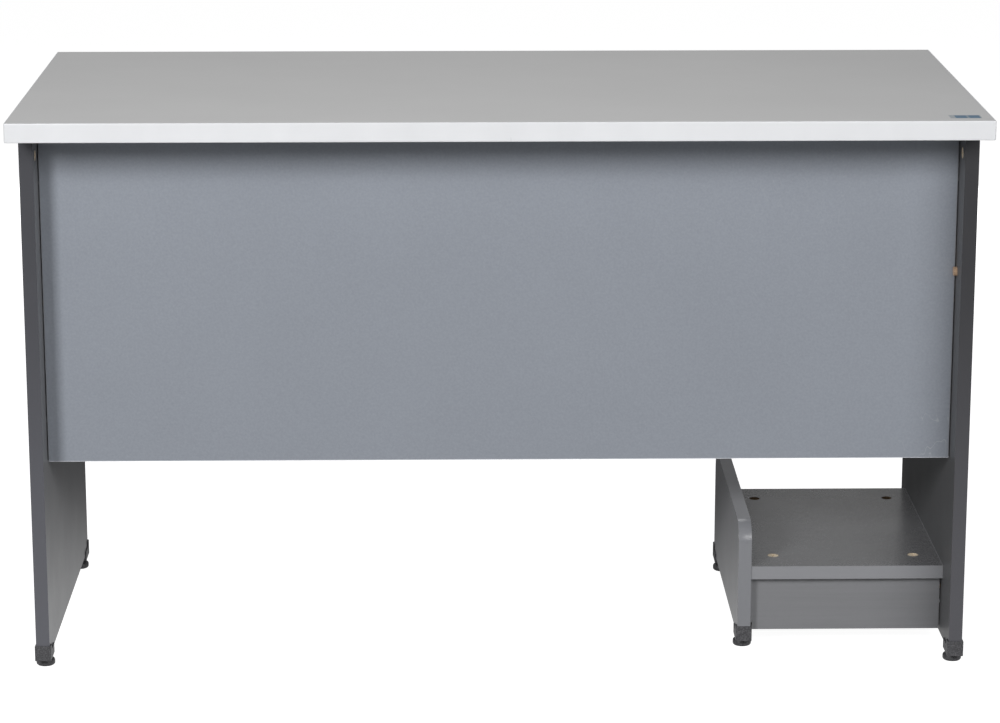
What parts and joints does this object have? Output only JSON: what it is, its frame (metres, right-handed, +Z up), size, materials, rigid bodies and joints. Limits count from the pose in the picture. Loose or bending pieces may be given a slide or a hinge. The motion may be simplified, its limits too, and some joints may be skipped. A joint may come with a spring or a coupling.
{
  "type": "writing desk with drawers",
  "caption": "Office writing desk with a banded top, panel legs, a modesty panel, a low computer stand, a hanging pedestal of lockable drawers and levelling glides.",
  "frame": {"origin": "on the floor under the centre of the top's footprint", "axes": "+Z up, the user sits at -Y and faces +Y, the visitor's side is +Y, +X is the user's right, along the desk's length"},
  "size_m": [1.25, 0.6, 0.75],
  "materials": {
    "top_laminate": "light grey fine-textured laminate on chipboard",
    "edge_band": "pale grey satin plastic edge band",
    "graphite_laminate": "dark graphite laminate on chipboard, fine pebble",
    "modesty_laminate": "blue-grey laminate on chipboard, fine pebble",
    "drawer_box_laminate": "light grey foil on chipboard and hardboard",
    "handle_metal": "satin nickel",
    "zinc_steel": "zinc plated",
    "lock_nickel": "bright nickel",
    "black_plastic": "satin black moulded plastic",
    "cam_plastic": "cream coated die casting",
    "plug_plastic": "beige moulded plastic",
    "beech": "turned beech",
    "label_film": "plain blue paper film, blank"
  },
  "bodies": {
    "root": {"desktop": "top_laminate", "desktop_edge_band": "edge_band", "side_panel_right": "graphite_laminate", "side_panel_left": "graphite_laminate", "modesty_panel": "modesty_laminate", "cpu_divider": "graphite_laminate", "cpu_shelf": "graphite_laminate", "cpu_plinth_visitor": "graphite_laminate", "cpu_plinth_user": "graphite_laminate", "pedestal_side": "graphite_laminate", "pedestal_bottom": "graphite_laminate", "pedestal_back": "graphite_laminate", "lock_rail": "graphite_laminate", "rail_screws": "zinc_steel", "slides_outer": "zinc_steel", "shoe_right_visitor": "black_plastic", "shoe_right_user": "black_plastic", "shoe_left_visitor": "black_plastic", "shoe_left_user": "black_plastic", "shoe_divider_visitor": "black_plastic", "shoe_divider_user": "black_plastic", "cam_locks": "cam_plastic", "cam_bolts": "zinc_steel", "wood_dowels": "beech", "panel_plug": "plug_plastic", "blank_label": "label_film"},
    "drawer_1": {"drawer_1_front": "graphite_laminate", "drawer_1_side_left": "drawer_box_laminate", "drawer_1_side_right": "drawer_box_laminate", "drawer_1_back": "drawer_box_laminate", "drawer_1_bottom": "drawer_box_laminate", "drawer_1_handle": "handle_metal", "drawer_1_slides": "zinc_steel"},
    "drawer_1_cages": {"drawer_1_ball_cages": "zinc_steel"},
    "drawer_2": {"drawer_2_front": "graphite_laminate", "drawer_2_side_left": "drawer_box_laminate", "drawer_2_side_right": "drawer_box_laminate", "drawer_2_back": "drawer_box_laminate", "drawer_2_bottom": "drawer_box_laminate", "drawer_2_handle": "handle_metal", "drawer_2_slides": "zinc_steel"},
    "drawer_2_cages": {"drawer_2_ball_cages": "zinc_steel"},
    "drawer_3": {"drawer_3_front": "graphite_laminate", "drawer_3_side_left": "drawer_box_laminate", "drawer_3_side_right": "drawer_box_laminate", "drawer_3_back": "drawer_box_laminate", "drawer_3_bottom": "drawer_box_laminate", "drawer_3_handle": "handle_metal", "drawer_3_slides": "zinc_steel", "lock_housing": "lock_nickel"},
    "drawer_3_cages": {"drawer_3_ball_cages": "zinc_steel"},
    "lock_core": {"lock_plug": "lock_nickel", "lock_tongue": "lock_nickel"},
    "glide_right_visitor": {"glide_right_visitor": "black_plastic"},
    "glide_right_user": {"glide_right_user": "black_plastic"},
    "glide_left_visitor": {"glide_left_visitor": "black_plastic"},
    "glide_left_user": {"glide_left_user": "black_plastic"},
    "glide_divider_visitor": {"glide_divider_visitor": "black_plastic"},
    "glide_divider_user": {"glide_divider_user": "black_plastic"}
  },
  "joints": [
    {"name": "drawer_1_slide", "type": "slide", "parent": "root", "child": "drawer_1", "axis": [0, -1, 0], "range_m": [0, 0.26]},
    {"name": "drawer_1_cage_roll", "type": "slide", "parent": "root", "child": "drawer_1_cages", "axis": [0, -1, 0], "range_m": [0, 0.13]},
    {"name": "drawer_2_slide", "type": "slide", "parent": "root", "child": "drawer_2", "axis": [0, -1, 0], "range_m": [0, 0.26]},
    {"name": "drawer_2_cage_roll", "type": "slide", "parent": "root", "child": "drawer_2_cages", "axis": [0, -1, 0], "range_m": [0, 0.13]},
    {"name": "drawer_3_slide", "type": "slide", "parent": "root", "child": "drawer_3", "axis": [0, -1, 0], "range_m": [0, 0.26]},
    {"name": "drawer_3_cage_roll", "type": "slide", "parent": "root", "child": "drawer_3_cages", "axis": [0, -1, 0], "range_m": [0, 0.13]},
    {"name": "lock_turn", "type": "hinge", "parent": "drawer_3", "child": "lock_core", "pos_m": [0.399, -0.253, 0.685], "axis": [0, -1, 0], "range_deg": [0, 90]},
    {"name": "glide_right_visitor_screw", "type": "slide", "parent": "root", "child": "glide_right_visitor", "axis": [0, 0, -1], "range_m": [0, 0.01]},
    {"name": "glide_right_user_screw", "type": "slide", "parent": "root", "child": "glide_right_user", "axis": [0, 0, -1], "range_m": [0, 0.01]},
    {"name": "glide_left_visitor_screw", "type": "slide", "parent": "root", "child": "glide_left_visitor", "axis": [0, 0, -1], "range_m": [0, 0.01]},
    {"name": "glide_left_user_screw", "type": "slide", "parent": "root", "child": "glide_left_user", "axis": [0, 0, -1], "range_m": [0, 0.01]},
    {"name": "glide_divider_visitor_screw", "type": "slide", "parent": "root", "child": "glide_divider_visitor", "axis": [0, 0, -1], "range_m": [0, 0.01]},
    {"name": "glide_divider_user_screw", "type": "slide", "parent": "root", "child": "glide_divider_user", "axis": [0, 0, -1], "range_m": [0, 0.01]}
  ],
  "couplings": [
    {"joint": "drawer_1_cage_roll", "follows": "drawer_1_slide", "ratio": 0.5},
    {"joint": "drawer_2_cage_roll", "follows": "drawer_2_slide", "ratio": 0.5},
    {"joint": "drawer_3_cage_roll", "follows": "drawer_3_slide", "ratio": 0.5}
  ]
}
